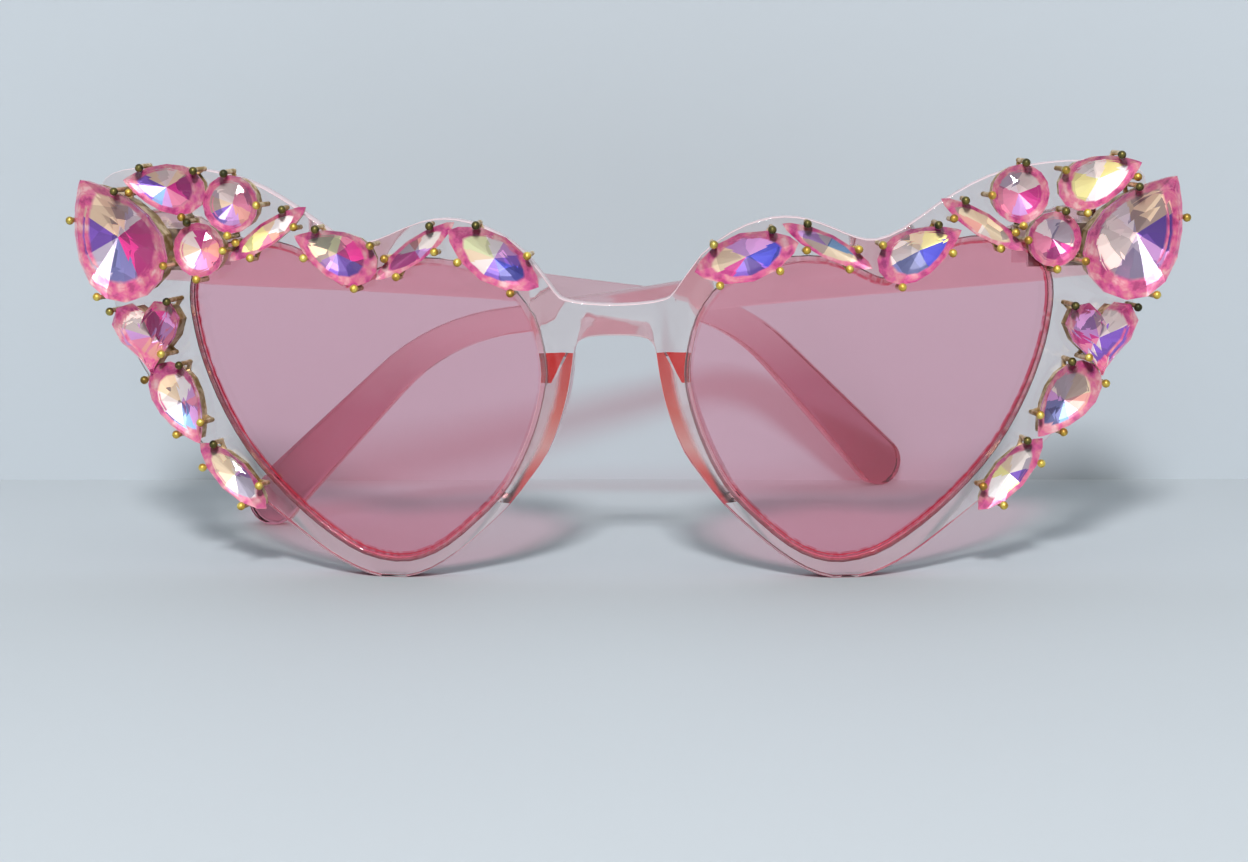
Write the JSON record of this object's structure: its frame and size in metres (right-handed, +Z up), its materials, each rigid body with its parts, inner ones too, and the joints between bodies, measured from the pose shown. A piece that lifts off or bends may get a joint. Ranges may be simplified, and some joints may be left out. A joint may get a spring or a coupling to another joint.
{
  "type": "heart shaped sunglasses",
  "caption": "Heart shaped sunglasses: a clear cat-eye front with claw-set crystals, tinted heart lenses, nose pads and two hinged folding arms.",
  "frame": {"origin": "on the front face, at the middle of the bridge's underside", "axes": "+Z up, +X to the viewer's right along the front, +Y back from the front towards the arms"},
  "size_m": [0.1601, 0.0945, 0.06],
  "materials": {
    "clear_plastic": "clear, polished",
    "tinted_lens": "tinted, polished",
    "pad_plastic": "clear, tinted by its depth",
    "pink_plastic": "translucent pink, polished",
    "hinge_steel": "satin",
    "crystal": "cut, foil backed, iridescent",
    "claw_gold": "gold plated"
  },
  "bodies": {
    "front": {"frame_front": "clear_plastic", "lens_left": "tinted_lens", "lens_right": "tinted_lens", "nose_pad_left": "pad_plastic", "nose_pad_right": "pad_plastic", "front_leaf_left": "hinge_steel", "front_leaf_right": "hinge_steel", "hinge_screw_left": "hinge_steel", "hinge_screw_right": "hinge_steel", "crystal_left_lower_navette": "crystal", "crystal_left_side_pear": "crystal", "crystal_left_heart": "crystal", "crystal_left_corner_pear": "crystal", "crystal_left_top_pear": "crystal", "crystal_left_upper_round": "crystal", "crystal_left_lower_round": "crystal", "crystal_left_outer_navette": "crystal", "crystal_left_cleft_pear": "crystal", "crystal_left_hump_navette": "crystal", "crystal_left_bridge_navette": "crystal", "crystal_right_lower_navette": "crystal", "crystal_right_side_pear": "crystal", "crystal_right_heart": "crystal", "crystal_right_corner_pear": "crystal", "crystal_right_top_pear": "crystal", "crystal_right_upper_round": "crystal", "crystal_right_lower_round": "crystal", "crystal_right_outer_navette": "crystal", "crystal_right_cleft_pear": "crystal", "crystal_right_hump_navette": "crystal", "crystal_right_bridge_navette": "crystal", "setting_left_lower_navette": "claw_gold", "setting_left_side_pear": "claw_gold", "setting_left_heart": "claw_gold", "setting_left_corner_pear": "claw_gold", "setting_left_top_pear": "claw_gold", "setting_left_upper_round": "claw_gold", "setting_left_lower_round": "claw_gold", "setting_left_outer_navette": "claw_gold", "setting_left_cleft_pear": "claw_gold", "setting_left_hump_navette": "claw_gold", "setting_left_bridge_navette": "claw_gold", "setting_right_lower_navette": "claw_gold", "setting_right_side_pear": "claw_gold", "setting_right_heart": "claw_gold", "setting_right_corner_pear": "claw_gold", "setting_right_top_pear": "claw_gold", "setting_right_upper_round": "claw_gold", "setting_right_lower_round": "claw_gold", "setting_right_outer_navette": "claw_gold", "setting_right_cleft_pear": "claw_gold", "setting_right_hump_navette": "claw_gold", "setting_right_bridge_navette": "claw_gold"},
    "left_arm": {"arm_left": "pink_plastic", "arm_leaf_left": "hinge_steel"},
    "right_arm": {"arm_right": "pink_plastic", "arm_leaf_right": "hinge_steel"}
  },
  "joints": [
    {"name": "left_arm_fold", "type": "hinge", "parent": "front", "child": "left_arm", "pos_m": [-0.06643, 0.01484, 0.0116], "axis": [0, 0, 1], "range_deg": [-10, 61]},
    {"name": "right_arm_fold", "type": "hinge", "parent": "front", "child": "right_arm", "pos_m": [0.06643, 0.01484, 0.0116], "axis": [0, 0, -1], "range_deg": [-13.2, 80.52]}
  ],
  "couplings": [
    {"joint": "right_arm_fold", "follows": "left_arm_fold", "ratio": 1.32}
  ]
}
